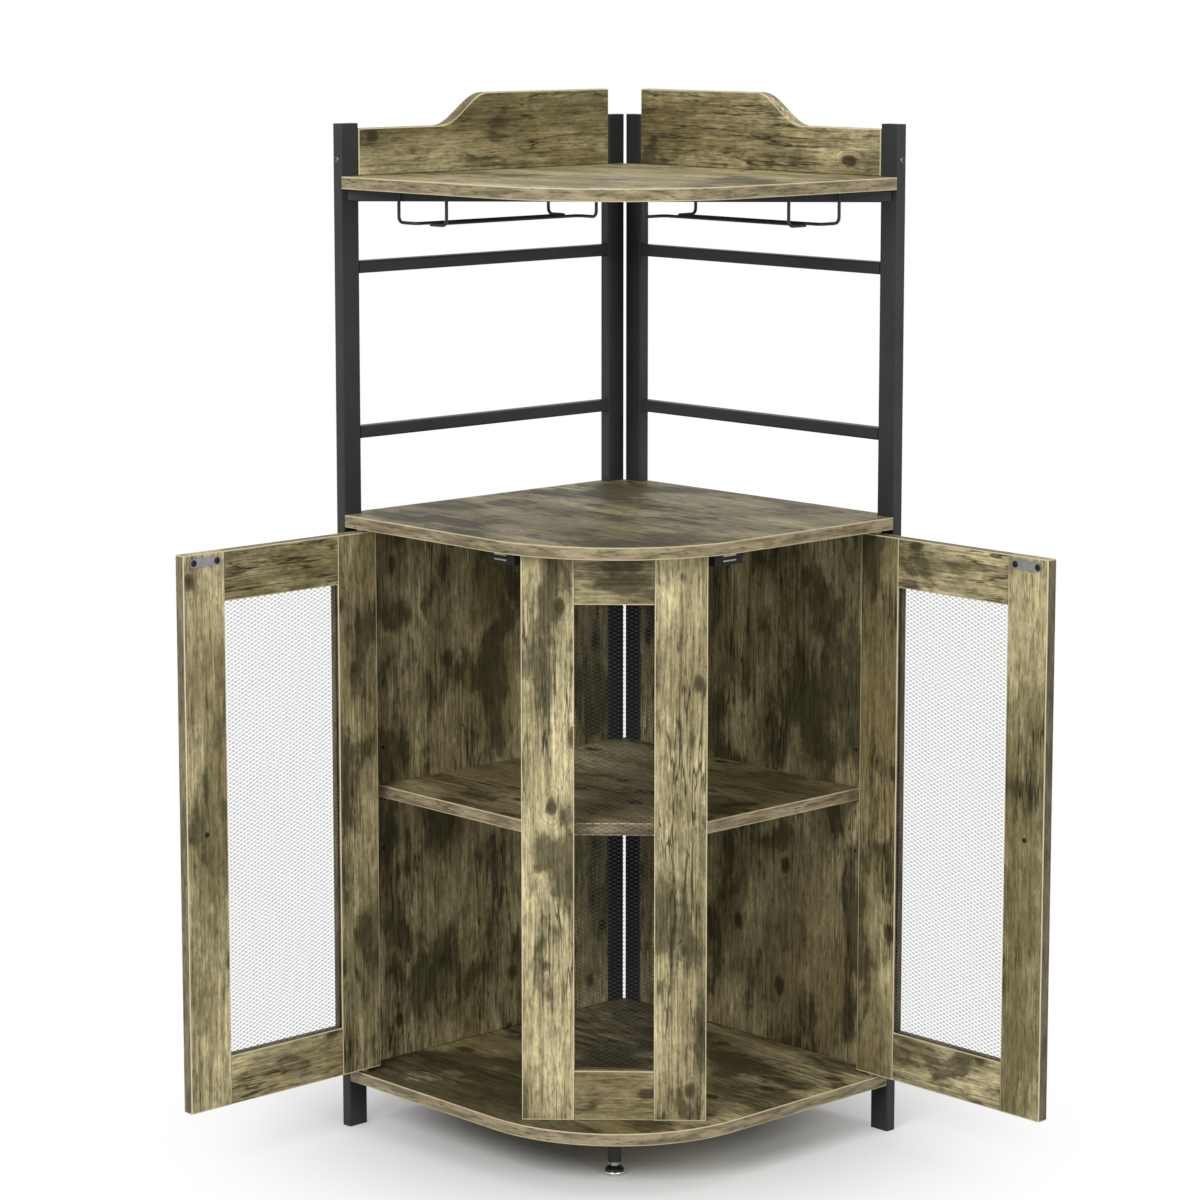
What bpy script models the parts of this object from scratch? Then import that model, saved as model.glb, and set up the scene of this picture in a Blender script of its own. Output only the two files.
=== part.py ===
"""Corner bar cabinet: two black tube side frames, wood boards, grille doors, stemware racks.

Metres, +Z up, the front faces -Y, floor at z = 0, the middle of the bounding box at x = y = 0.
A plan point is given in wall terms: run = distance along a side wall from the room corner towards
the front, off = distance from that wall's plane into the cabinet. Side -1 is left, +1 is right.
"""
import math

import bmesh
import bpy
from mathutils import Vector

# overall sizes
wall_run = 0.486
post_height = 1.242
counter_height = 0.769
top_shelf_height = 1.179
base_height = 0.074
inner_shelf_height = 0.427

# boards
board = 0.015
front_radius = 0.203
edge_round = 0.0008
inner_shelf_setback = 0.050
inner_shelf_flat_setback = 0.0322

# tubes of the side frames
post_along = 0.028
post_across = 0.015
tube_wall = 0.0015
tube_round = 0.0022
bar_size = 0.015
rear_slit = 0.001
upper_bar_middle = 1.0687
lower_bar_middle = 0.8679
cross_bar_depth = 0.015
cross_bar_setback = 0.007

# boards above the top shelf
guard_low_top = 1.2355
guard_high_top = 1.2747
guard_step_from_front = 0.196
guard_step_length = 0.080

# fixed panel at the front
centre_width = 0.218
centre_stile = 0.062
centre_rail = 0.060

# doors
door_stile = 0.060
door_rail = 0.060
door_gap_below = 0.005
door_gap_above = 0.004
door_gap_to_centre = 0.004
door_clear_of_centre = 0.0018
door_swing_clearance = 0.0005
pivot_setback = 0.010
pivot_from_edge = 0.0175
pivot_radius = 0.003
pivot_in_door = 0.013
pivot_in_board = 0.008
collar_radius = 0.0055

# grilles
grille_thickness = 0.0012
grille_from_inner_face = 0.0045
groove_depth = 0.006
strand_keep = 0.85
door_cells_across = 8
door_cells_up = 34
centre_cells_across = 4
centre_cells_up = 34

# small door parts
plate_length = 0.045
plate_height = 0.011
plate_thickness = 0.001
plate_from_free_edge = 0.0315
plate_below_top = 0.010
plate_hole_radius = 0.002
plate_hole_spacing = 0.034
knob_from_free_edge = 0.0285
knob_radius = 0.012
knob_length = 0.022
catch_length = 0.046
catch_depth = 0.0135
catch_height = 0.016
catch_gap = 0.0012

# stemware racks
wire_radius = 0.002
wire_bend = 0.007
rack_front_setback = 0.047
rack_length = 0.243
rack_middle_off = 0.110
rack_width = 0.087
rack_slot = 0.022
rack_drop = 0.0395

# shelf pegs
peg_radius = 0.0025
peg_length = 0.009
peg_from_shelf_front = 0.008
peg_from_rear_post = 0.066
peg_hole_depth = 0.008
peg_hole_step = 0.0635

# front leg
leg_radius = 0.008
leg_setback = 0.079
leg_bore_radius = 0.0046
leg_bore_end = 0.009
foot_radius = 0.013
foot_height = 0.011
foot_clearance = 0.005
stem_radius = 0.004
stem_clearance = 0.013
nut_radius = 0.0068
nut_height = 0.004

gap = 0.0003
slide_gap = 0.0008
half_root = math.sqrt(0.5)
rear_start = post_across + rear_slit
rear_post_end = rear_start + post_along
apex = wall_run * math.sqrt(2.0) - front_radius * (math.sqrt(2.0) - 1.0)
rear_edge = rear_start * half_root + tube_round * (math.sqrt(2.0) - math.cos(math.radians(15.0)))
corner_y = (rear_edge + apex) / 2.0
counter_low = counter_height - board
top_shelf_low = top_shelf_height - board
base_low = base_height - board
inner_shelf_low = inner_shelf_height - board
door_low = base_height + door_gap_below
door_high = counter_low - door_gap_above
front_post_start = wall_run - post_along
pivot_run = wall_run - pivot_setback
pivot_off = post_across + math.hypot(pivot_from_edge, board / 2.0) + door_swing_clearance
centre_run = pivot_run - board / 2.0 - door_clear_of_centre
centre_front = centre_run * math.sqrt(2.0) - centre_width / 2.0
centre_off = (centre_front - centre_width / 2.0) * half_root
door_width = centre_off - door_gap_to_centre - (pivot_off - pivot_from_edge)
shelf_front = wall_run - inner_shelf_setback
guard_step_run = wall_run - guard_step_from_front
rack_front_run = wall_run - rack_front_setback
rack_rear_run = rack_front_run - rack_length
peg_front_run = shelf_front - peg_from_shelf_front
peg_rear_run = rear_post_end + peg_from_rear_post

for old in list(bpy.data.objects):
    bpy.data.objects.remove(old, do_unlink=True)

cabinet = bpy.data.collections.new("corner_bar_cabinet")
bpy.context.scene.collection.children.link(cabinet)
cutters = bpy.data.collections.new("cutters")
bpy.context.scene.collection.children.link(cutters)


def make_material(name, colour, roughness, metallic):
    """A Principled material with one colour."""
    material = bpy.data.materials.new(name)
    material.use_nodes = True
    shader = material.node_tree.nodes["Principled BSDF"]
    shader.inputs["Base Color"].default_value = (colour[0], colour[1], colour[2], 1.0)
    shader.inputs["Roughness"].default_value = roughness
    shader.inputs["Metallic"].default_value = metallic
    material.diffuse_color = (colour[0], colour[1], colour[2], 1.0)
    return material


wood = make_material("wood", (0.230, 0.180, 0.085), 0.55, 0.0)
black = make_material("black_coat", (0.018, 0.018, 0.019), 0.45, 0.3)
mesh_black = make_material("grille_black", (0.012, 0.012, 0.012), 0.5, 0.3)
steel = make_material("steel", (0.58, 0.58, 0.56), 0.28, 1.0)
plastic = make_material("dark_plastic", (0.030, 0.028, 0.026), 0.5, 0.0)
chrome = make_material("chrome", (0.55, 0.55, 0.56), 0.12, 1.0)


def wall_point(side, run, off, z):
    """A wall-terms point in the cabinet's frame."""
    return Vector((side * (run - off) * half_root, corner_y - (run + off) * half_root, z))


def finish_object(name, shape, material, parent=None):
    """Turn a bmesh into an object whose origin is the middle of its box."""
    bmesh.ops.recalc_face_normals(shape, faces=shape.faces)
    low = Vector([min(v.co[i] for v in shape.verts) for i in range(3)])
    high = Vector([max(v.co[i] for v in shape.verts) for i in range(3)])
    origin = (low + high) / 2.0
    for vertex in shape.verts:
        vertex.co -= origin
    data = bpy.data.meshes.new(name)
    shape.to_mesh(data)
    shape.free()
    item = bpy.data.objects.new(name, data)
    item.location = origin
    data.materials.append(material)
    cabinet.objects.link(item)
    if parent is not None:
        item.parent = parent
    return item


def prism(name, section, place, low, high, material, parent=None):
    """A solid with one closed section, swept straight from low to high."""
    shape = bmesh.new()
    first = [shape.verts.new(place(p, q, low)) for p, q in section]
    last = [shape.verts.new(place(p, q, high)) for p, q in section]
    count = len(section)
    shape.faces.new(first)
    shape.faces.new(last)
    for i in range(count):
        j = (i + 1) % count
        shape.faces.new((first[i], first[j], last[j], last[i]))
    return finish_object(name, shape, material, parent)


def tube(name, outer, inner, place, low, high, material, cap=0.0):
    """A hollow prism; a cap above zero closes its high end."""
    shape = bmesh.new()
    count = len(outer)
    out_low = [shape.verts.new(place(p, q, low)) for p, q in outer]
    out_high = [shape.verts.new(place(p, q, high)) for p, q in outer]
    in_low = [shape.verts.new(place(p, q, low)) for p, q in inner]
    in_high = [shape.verts.new(place(p, q, high - cap)) for p, q in inner]
    for i in range(count):
        j = (i + 1) % count
        shape.faces.new((out_low[i], out_low[j], out_high[j], out_high[i]))
        shape.faces.new((in_low[i], in_low[j], in_high[j], in_high[i]))
        shape.faces.new((out_low[i], out_low[j], in_low[j], in_low[i]))
        if cap <= 0.0:
            shape.faces.new((out_high[i], out_high[j], in_high[j], in_high[i]))
    if cap > 0.0:
        shape.faces.new(out_high)
        shape.faces.new(in_high)
    return finish_object(name, shape, material)


def rounded_box(p0, p1, q0, q1, radius, steps=3):
    """A rectangle with rounded corners as a list of points."""
    points = []
    corners = ((p1, q1, 0.0), (p0, q1, 0.5), (p0, q0, 1.0), (p1, q0, 1.5))
    for p, q, turn in corners:
        centre_p = p - radius if p == p1 else p + radius
        centre_q = q - radius if q == q1 else q + radius
        for i in range(steps + 1):
            angle = (turn + 0.5 * i / steps) * math.pi
            points.append((centre_p + radius * math.cos(angle), centre_q + radius * math.sin(angle)))
    return points


def chamfered_box(p0, p1, q0, q1, cut):
    """A rectangle with its corners cut off."""
    return [(p0 + cut, q0), (p1 - cut, q0), (p1, q0 + cut), (p1, q1 - cut),
            (p1 - cut, q1), (p0 + cut, q1), (p0, q1 - cut), (p0, q0 + cut)]


def soften(item):
    """Ease the sharp edges of a board."""
    bevel = item.modifiers.new("ease", "BEVEL")
    bevel.width = edge_round
    bevel.segments = 1
    bevel.limit_method = "ANGLE"
    bevel.angle_limit = math.radians(40.0)
    bevel.use_clamp_overlap = True


def cut_hole(item, name, centre, direction, radius, depth):
    """A blind round hole from a point on the surface, going along direction."""
    shape = bmesh.new()
    bmesh.ops.create_cone(shape, cap_ends=True, segments=20, radius1=radius, radius2=radius, depth=depth * 2.0)
    data = bpy.data.meshes.new(name)
    shape.to_mesh(data)
    shape.free()
    cutter = bpy.data.objects.new(name, data)
    cutter.location = centre
    cutter.rotation_euler = direction.to_track_quat("Z", "Y").to_euler()
    cutter.hide_render = True
    cutter.display_type = "WIRE"
    cutters.objects.link(cutter)
    cutter.parent = item.parent
    boolean = item.modifiers.new(name, "BOOLEAN")
    boolean.operation = "DIFFERENCE"
    boolean.solver = "EXACT"
    boolean.object = cutter


def lathe(name, profile, place, material, steps=24, parent=None):
    """A solid of revolution; profile is (radius, height) from axis to axis."""
    shape = bmesh.new()
    rings = []
    for radius, height in profile:
        if radius < 1e-6:
            rings.append([shape.verts.new(place(0.0, 0.0, height))])
            continue
        ring = []
        for i in range(steps):
            angle = 2.0 * math.pi * i / steps
            ring.append(shape.verts.new(place(radius * math.cos(angle), radius * math.sin(angle), height)))
        rings.append(ring)
    for one, two in zip(rings, rings[1:]):
        for i in range(steps):
            j = (i + 1) % steps
            if len(one) == 1:
                shape.faces.new((one[0], two[i], two[j]))
            elif len(two) == 1:
                shape.faces.new((one[i], one[j], two[0]))
            else:
                shape.faces.new((one[i], one[j], two[j], two[i]))
    return finish_object(name, shape, material, parent)


# side frames
for side, word in ((-1, "left"), (1, "right")):

    def upright(p, q, s, side=side):
        return wall_point(side, p, q, s)

    def along_wall(p, q, s, side=side):
        return wall_point(side, s, p, q)

    posts = (("front_post", front_post_start, wall_run), ("rear_post", rear_start, rear_post_end))
    for label, start, end in posts:
        outer = rounded_box(start, end, 0.0, post_across, tube_round)
        inner = rounded_box(start + tube_wall, end - tube_wall, tube_wall, post_across - tube_wall,
                            tube_round - tube_wall * 0.6)
        tube(word + "_" + label, outer, inner, upright, 0.0, post_height, black, tube_wall)
    for label, middle in (("upper_bar", upper_bar_middle), ("lower_bar", lower_bar_middle)):
        half = bar_size / 2.0
        outer = rounded_box(0.0, post_across, middle - half, middle + half, tube_round)
        inner = rounded_box(tube_wall, post_across - tube_wall, middle - half + tube_wall,
                            middle + half - tube_wall, tube_round - tube_wall * 0.6)
        tube(word + "_" + label, outer, inner, along_wall, rear_post_end + gap, front_post_start - gap, black)

# bar across the front, under the top shelf, mitred to the posts
bar_front = corner_y - (wall_run + post_across) * half_root + cross_bar_setback


def across_posts(p, q, s):
    """Section point p (depth), q (height) carried to the left or right post."""
    reach = corner_y - p - (post_across + gap) * math.sqrt(2.0)
    return Vector((s * reach, p, q))


bar_high = top_shelf_low - gap
outer = rounded_box(bar_front, bar_front + cross_bar_depth, bar_high - bar_size, bar_high, tube_round)
inner = rounded_box(bar_front + tube_wall, bar_front + cross_bar_depth - tube_wall, bar_high - bar_size + tube_wall,
                    bar_high - tube_wall, tube_round - tube_wall * 0.6)
tube("front_cross_bar", outer, inner, across_posts, -1.0, 1.0, black)


def plan_up(p, q, s):
    """A plan point and a height."""
    return Vector((p, q, s))


def board_plan():
    """Outline shared by the top shelf, counter and base: a wall square with a rounded front corner."""
    half = []
    clear = post_across + gap
    half.append((clear, clear))
    half.append((rear_post_end + gap, clear))
    half.append((rear_post_end + gap, 0.0))
    half.append((front_post_start - gap, 0.0))
    half.append((front_post_start - gap, clear))
    half.append((wall_run, clear))
    steps = 14
    for i in range(steps + 1):
        angle = 0.25 * math.pi * i / steps
        run = wall_run - front_radius + front_radius * math.cos(angle)
        off = wall_run - front_radius + front_radius * math.sin(angle)
        half.append((run, off))
    left = [wall_point(-1, run, off, 0.0) for run, off in half]
    right = [wall_point(1, run, off, 0.0) for run, off in half]
    loop = left + list(reversed(right[1:-1]))
    return [(point.x, point.y) for point in loop]


outline = board_plan()
top_shelf = prism("top_shelf", outline, plan_up, top_shelf_low, top_shelf_height, wood)
counter = prism("counter_top", outline, plan_up, counter_low, counter_height, wood)
base = prism("base_board", outline, plan_up, base_low, base_height, wood)
for item in (top_shelf, counter, base):
    soften(item)

# adjustable shelf inside
shelf_flat = centre_front - inner_shelf_flat_setback
shelf_clear = post_across + slide_gap
shelf_turn = shelf_flat * math.sqrt(2.0) - shelf_front
shelf_half = [(shelf_clear, shelf_clear), (shelf_front, shelf_clear), (shelf_front, shelf_turn)]
shelf_left = [wall_point(-1, run, off, 0.0) for run, off in shelf_half]
shelf_right = [wall_point(1, run, off, 0.0) for run, off in shelf_half]
shelf_loop = [(point.x, point.y) for point in shelf_left + list(reversed(shelf_right[1:]))]
inner_shelf = prism("inner_shelf", shelf_loop, plan_up, inner_shelf_low, inner_shelf_height, wood)
soften(inner_shelf)

for side, word in ((-1, "left"), (1, "right")):

    def upright(p, q, s, side=side):
        return wall_point(side, p, q, s)

    def through_wall(p, q, s, side=side):
        return wall_point(side, p, s, q)

    inward = (wall_point(side, 0.0, 1.0, 0.0) - wall_point(side, 0.0, 0.0, 0.0)).normalized()

    # side panel between the posts, with spare peg holes
    plan = [(rear_post_end + gap, 0.0), (front_post_start - gap, 0.0),
            (front_post_start - gap, post_across), (rear_post_end + gap, post_across)]
    panel = prism(word + "_side_panel", plan, upright, base_height + gap, counter_low - gap, wood)
    soften(panel)
    peg_level = inner_shelf_low - gap - peg_radius
    for end, run in (("front", peg_front_run), ("rear", peg_rear_run)):
        for level, z in (("low", peg_level - peg_hole_step), ("high", peg_level + peg_hole_step)):
            hole_name = word + "_peg_hole_" + end + "_" + level
            cut_hole(panel, hole_name, wall_point(side, run, post_across, z), -inward, peg_radius, peg_hole_depth)

        def peg_place(p, q, s, side=side, run=run):
            return wall_point(side, run + p, post_across + s, peg_level + q)

        peg = [(0.0, gap), (peg_radius, gap), (peg_radius, peg_length - 0.001),
               (peg_radius - 0.0008, peg_length), (0.0, peg_length)]
        lathe("shelf_peg_" + word + "_" + end, peg, peg_place, steel, 16)

    # guard board with a stepped top edge
    start = rear_post_end + gap
    end = front_post_start - gap
    step_in = guard_step_run - guard_step_length / 2.0
    profile = [(start, top_shelf_height + gap), (end, top_shelf_height + gap), (end, guard_low_top)]
    steps = 14
    for i in range(steps + 1):
        part = i / steps
        rise = 0.5 - 0.5 * math.cos(math.pi * part)
        run = guard_step_run + guard_step_length / 2.0 - guard_step_length * part
        profile.append((run, guard_low_top + (guard_high_top - guard_low_top) * rise))
    profile.append((start, guard_high_top))
    guard = prism(word + "_guard", profile, through_wall, 0.0, post_across, wood)
    soften(guard)


def grille(name, cells_across, cells_up, p0, p1, q0, q1, rim, place, parent=None):
    """Expanded metal: a thin sheet with diamond openings and a plain rim, as one closed body."""
    step_p = (p1 - p0) / cells_across
    step_q = (q1 - q0) / cells_up
    half = grille_thickness / 2.0
    points = {}
    flat = []

    def corner(p, q):
        key = (round(p, 7), round(q, 7))
        if key not in points:
            points[key] = len(points)
        return points[key]

    def lattice(i, j):
        return corner(p0 + i * step_p, q0 + j * step_q)

    for i in range(cells_across + 1):
        for j in range(cells_up + 1):
            if (i + j) % 2 == 0:
                continue
            centre_p = p0 + i * step_p
            centre_q = q0 + j * step_q
            inside = 0 < i < cells_across and 0 < j < cells_up
            around = [(i + 1, j), (i, j + 1), (i - 1, j), (i, j - 1)]
            if inside:
                keep = []
                for a, b in around:
                    p = centre_p + (a - i) * step_p * strand_keep
                    q = centre_q + (b - j) * step_q * strand_keep
                    keep.append(corner(p, q))
                whole = [lattice(a, b) for a, b in around]
                for k in range(4):
                    m = (k + 1) % 4
                    flat.append((whole[k], whole[m], keep[m], keep[k]))
            else:
                kept = [lattice(a, b) for a, b in around if 0 <= a <= cells_across and 0 <= b <= cells_up]
                flat.append(tuple(kept))
    edge_low = [lattice(i, 0) for i in range(0, cells_across + 1, 2)]
    edge_high = [lattice(i, cells_up) for i in range(0, cells_across + 1, 2)]
    edge_left = [lattice(0, j) for j in range(0, cells_up + 1, 2)]
    edge_right = [lattice(cells_across, j) for j in range(0, cells_up + 1, 2)]
    a = corner(p0 - rim, q0 - rim)
    b = corner(p1 + rim, q0 - rim)
    c = corner(p1 + rim, q1 + rim)
    d = corner(p0 - rim, q1 + rim)
    for one, two, edge in ((a, b, edge_low), (b, c, edge_right), (d, c, edge_high), (a, d, edge_left)):
        middle = len(edge) // 2
        flat.append((one, two, edge[middle]))
        for k in range(len(edge) - 1):
            flat.append((one if k < middle else two, edge[k], edge[k + 1]))
    shape = bmesh.new()
    where = sorted(points, key=points.get)
    near = [shape.verts.new(place(p, q, -half)) for p, q in where]
    far = [shape.verts.new(place(p, q, half)) for p, q in where]
    uses = {}
    for face in flat:
        shape.faces.new([near[v] for v in face])
        shape.faces.new([far[v] for v in face])
        for k in range(len(face)):
            pair = (face[k], face[(k + 1) % len(face)])
            key = (min(pair), max(pair))
            uses[key] = uses.get(key, 0) + 1
    for (v, w), count in sorted(uses.items()):
        if count == 1:
            shape.faces.new((near[v], near[w], far[w], far[v]))
    return finish_object(name, shape, mesh_black, parent)


def grooved(p0, p1, q_out, q_in, groove_at, cut=0.0006):
    """Section of a stile: p along the panel, q through it, a groove in the p1 edge."""
    way = 1.0 if q_in > q_out else -1.0
    half = grille_thickness / 2.0 + gap
    middle = q_in - way * groove_at
    turn = 1.0 if p1 > p0 else -1.0
    return [(p0 + turn * cut, q_out), (p1 - turn * cut, q_out), (p1, q_out + way * cut),
            (p1, middle - way * half), (p1 - turn * groove_depth, middle - way * half),
            (p1 - turn * groove_depth, middle + way * half), (p1, middle + way * half),
            (p1, q_in - way * cut), (p1 - turn * cut, q_in), (p0 + turn * cut, q_in),
            (p0, q_in - way * cut), (p0, q_out + way * cut)]


# fixed panel at the front, standing on the base
panel_front = corner_y - centre_front
panel_back = panel_front + board
half_width = centre_width / 2.0
panel_low = base_height + gap
panel_high = counter_low - gap
for side, word in ((-1, "left"), (1, "right")):
    section = grooved(side * half_width, side * (half_width - centre_stile), panel_front, panel_back,
                      grille_from_inner_face)
    prism("centre_" + word + "_stile", section, plan_up, panel_low, panel_high, wood)


def across(p, q, s):
    """Section through a rail: p is height, q is depth."""
    return Vector((s, q, p))


rail_reach = half_width - centre_stile - gap
low_section = grooved(panel_low, panel_low + centre_rail, panel_front, panel_back, grille_from_inner_face)
high_section = grooved(panel_high, panel_high - centre_rail, panel_front, panel_back, grille_from_inner_face)
prism("centre_bottom_rail", low_section, across, -rail_reach, rail_reach, wood)
prism("centre_top_rail", high_section, across, -rail_reach, rail_reach, wood)
sheet_y = panel_back - grille_from_inner_face
rim_width = groove_depth - 2.0 * gap


def centre_sheet(p, q, s):
    return Vector((p, sheet_y + s, q))


open_half = half_width - centre_stile
grille("centre_grille", centre_cells_across, centre_cells_up, -open_half, open_half,
       panel_low + centre_rail, panel_high - centre_rail, rim_width, centre_sheet)


def strike_plate(name, place, normal, parent):
    """Rounded steel plate with two screw holes."""
    half = plate_thickness / 2.0
    outline = rounded_box(-plate_length / 2.0, plate_length / 2.0, -plate_height / 2.0, plate_height / 2.0,
                          plate_height * 0.45, 5)
    plate = prism(name, outline, place, -half, half, steel, parent)
    for label, sign in (("_hole_one", -1.0), ("_hole_two", 1.0)):
        centre = place(sign * plate_hole_spacing / 2.0, 0.0, 0.0)
        cut_hole(plate, name + label, centre, normal, plate_hole_radius, plate_thickness * 2.0)


# doors, built from the hinge: x along the door, y towards its inner face times side
for side, word in ((-1, "left"), (1, "right")):
    hinge = bpy.data.objects.new(word + "_door_hinge", None)
    cabinet.objects.link(hinge)
    hinge.location = wall_point(side, pivot_run, pivot_off, 0.0)
    hinge.rotation_euler = (0.0, 0.0, math.radians(225.0 if side < 0 else 315.0))
    name = word + "_door_"
    edge = -pivot_from_edge
    free = edge + door_width
    face_in = -side * board / 2.0
    face_out = side * board / 2.0

    def door_up(p, q, s):
        return Vector((p, q, s))

    def door_across(p, q, s):
        return Vector((s, q, p))

    section = grooved(edge, edge + door_stile, face_out, face_in, grille_from_inner_face)
    hinge_stile = prism(name + "hinge_stile", section, door_up, door_low, door_high, wood, hinge)
    up = Vector((0.0, 0.0, 1.0))
    hole = pivot_radius + gap
    cut_hole(hinge_stile, name + "hole_low", Vector((0.0, 0.0, door_low)), up, hole, pivot_in_door + gap)
    cut_hole(hinge_stile, name + "hole_high", Vector((0.0, 0.0, door_high)), up, hole, pivot_in_door + gap)
    section = grooved(free, free - door_stile, face_out, face_in, grille_from_inner_face)
    prism(name + "free_stile", section, door_up, door_low, door_high, wood, hinge)
    rail_start = edge + door_stile + gap
    rail_end = free - door_stile - gap
    section = grooved(door_low, door_low + door_rail, face_out, face_in, grille_from_inner_face)
    prism(name + "bottom_rail", section, door_across, rail_start, rail_end, wood, hinge)
    section = grooved(door_high, door_high - door_rail, face_out, face_in, grille_from_inner_face)
    prism(name + "top_rail", section, door_across, rail_start, rail_end, wood, hinge)
    sheet = face_in + side * grille_from_inner_face

    def door_sheet(p, q, s, sheet=sheet):
        return Vector((p, sheet + s, q))

    grille(name + "grille", door_cells_across, door_cells_up, edge + door_stile, free - door_stile,
           door_low + door_rail, door_high - door_rail, rim_width, door_sheet, hinge)
    plate_x = free - plate_from_free_edge
    plate_z = door_high - plate_below_top
    plate_y = face_in - side * (gap + plate_thickness / 2.0)

    def plate_place(p, q, s, plate_x=plate_x, plate_y=plate_y, plate_z=plate_z):
        return Vector((plate_x + p, plate_y + s, plate_z + q))

    strike_plate(name + "strike_plate", plate_place, Vector((0.0, 1.0, 0.0)), hinge)
    knob_x = free - knob_from_free_edge
    knob_z = (door_low + door_high) / 2.0

    def knob_place(p, q, s, side=side, knob_x=knob_x, knob_z=knob_z, face_out=face_out):
        return Vector((knob_x + p, face_out + side * s, knob_z + q))

    knob = [(0.0, gap), (knob_radius * 0.58, gap), (knob_radius * 0.50, knob_length * 0.10),
            (knob_radius * 0.36, knob_length * 0.26), (knob_radius * 0.36, knob_length * 0.42),
            (knob_radius * 0.72, knob_length * 0.56), (knob_radius * 0.97, knob_length * 0.68),
            (knob_radius, knob_length * 0.80), (knob_radius * 0.90, knob_length * 0.93),
            (knob_radius * 0.62, knob_length), (0.0, knob_length)]
    lathe(name + "knob", knob, knob_place, black, 18, hinge)

    def pin_low(p, q, s):
        return Vector((p, q, base_height + s))

    def pin_high(p, q, s):
        return Vector((p, q, counter_low - s))

    for label, place, room in (("bottom_pivot", pin_low, door_gap_below), ("top_pivot", pin_high, door_gap_above)):
        pin = [(0.0, -pivot_in_board), (pivot_radius, -pivot_in_board), (pivot_radius, gap),
               (collar_radius, gap), (collar_radius, room - gap), (pivot_radius, room - gap),
               (pivot_radius, room + pivot_in_door), (0.0, room + pivot_in_door)]
        lathe(name + label, pin, place, steel, 16, hinge)
    pivot = wall_point(side, pivot_run, pivot_off, 0.0)
    board_hole = pivot_in_board + gap
    cut_hole(base, word + "_base_hole", pivot + Vector((0.0, 0.0, base_height)), up, hole, board_hole)
    cut_hole(counter, word + "_counter_hole", pivot + Vector((0.0, 0.0, counter_low)), up, hole, board_hole)

    # magnetic catch under the counter, in front of the closed strike plate
    closed_face = pivot_run - board / 2.0 - gap - plate_thickness
    catch_front = closed_face - catch_gap
    catch_middle = pivot_off - pivot_from_edge + door_width - plate_from_free_edge
    catch_high = counter_low - gap

    def catch_up(p, q, s, side=side):
        return wall_point(side, p, q, s)

    plan = chamfered_box(catch_front - catch_depth, catch_front, catch_middle - catch_length / 2.0,
                         catch_middle + catch_length / 2.0, 0.0015)
    prism(word + "_catch", plan, catch_up, catch_high - catch_height, catch_high, plastic)


def bent_wire(name, corners):
    """A round wire through corner points, each inner corner turned with a smooth bend."""
    points = [corners[0]]
    for before, here, after in zip(corners, corners[1:], corners[2:]):
        back = (before - here).normalized()
        ahead = (after - here).normalized()
        start = here + back * wire_bend
        stop = here + ahead * wire_bend
        centre = here + (back + ahead) * wire_bend
        for i in range(6):
            angle = 0.5 * math.pi * i / 5
            arm = (start - centre) * math.cos(angle) + (stop - centre) * math.sin(angle)
            points.append(centre + arm)
    points.append(corners[-1])
    curve = bpy.data.curves.new(name, "CURVE")
    curve.dimensions = "3D"
    curve.bevel_depth = wire_radius
    curve.bevel_resolution = 2
    curve.use_fill_caps = True
    spline = curve.splines.new("POLY")
    spline.points.add(len(points) - 1)
    for i, point in enumerate(points):
        spline.points[i].co = (point.x, point.y, point.z, 1.0)
    curve.materials.append(black)
    item = bpy.data.objects.new(name, curve)
    cabinet.objects.link(item)
    return item


# stemware racks: two bent wires a side, hung under the top shelf
rail_z = top_shelf_low - rack_drop
hang_z = top_shelf_low - gap
for side, word in ((-1, "left"), (1, "right")):
    for label, sign in (("outer_wire", -1.0), ("inner_wire", 1.0)):
        out = rack_middle_off + sign * rack_width / 2.0
        rail = rack_middle_off + sign * rack_slot / 2.0
        path = [wall_point(side, rack_front_run, out, hang_z), wall_point(side, rack_front_run, out, rail_z),
                wall_point(side, rack_front_run, rail, rail_z), wall_point(side, rack_rear_run, rail, rail_z),
                wall_point(side, rack_rear_run, out, rail_z), wall_point(side, rack_rear_run, out, hang_z)]
        bent_wire(word + "_rack_" + label, path)

# front leg with a levelling foot
leg_y = corner_y - apex + leg_setback
leg_low = foot_height + foot_clearance


def leg_place(p, q, s):
    """Around the leg's axis."""
    return Vector((p, leg_y + q, s))


bore_top = base_low - leg_bore_end
leg = [(0.0, base_low - gap), (leg_radius, base_low - gap), (leg_radius, leg_low), (leg_bore_radius, leg_low),
       (leg_bore_radius, bore_top), (0.0, bore_top)]
lathe("centre_leg", leg, leg_place, black, 24)
stem_top = bore_top - stem_clearance
foot = [(0.0, 0.0), (foot_radius - 0.001, 0.0), (foot_radius, 0.001), (foot_radius, foot_height * 0.36),
        (foot_radius * 0.93, foot_height * 0.55), (foot_radius * 0.76, foot_height * 0.78),
        (foot_radius * 0.52, foot_height), (stem_radius, foot_height), (stem_radius, stem_top), (0.0, stem_top)]
lathe("levelling_foot", foot, leg_place, chrome, 24)
nut_outer = []
nut_inner = []
for i in range(24):
    angle = math.pi * i / 12.0
    flat_angle = (i % 4) * math.pi / 12.0 - math.pi / 6.0
    reach = nut_radius * math.cos(math.pi / 6.0) / math.cos(flat_angle)
    nut_outer.append((reach * math.cos(angle), reach * math.sin(angle)))
    nut_inner.append(((stem_radius + gap) * math.cos(angle), (stem_radius + gap) * math.sin(angle)))
nut_low = foot_height + gap
tube("foot_nut", nut_outer, nut_inner, leg_place, nut_low, nut_low + nut_height, steel)
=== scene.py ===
"""Looks of the corner bar cabinet: wood, black frame, expanded-metal grilles, fittings and the stage."""
import math
from collections import namedtuple

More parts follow.
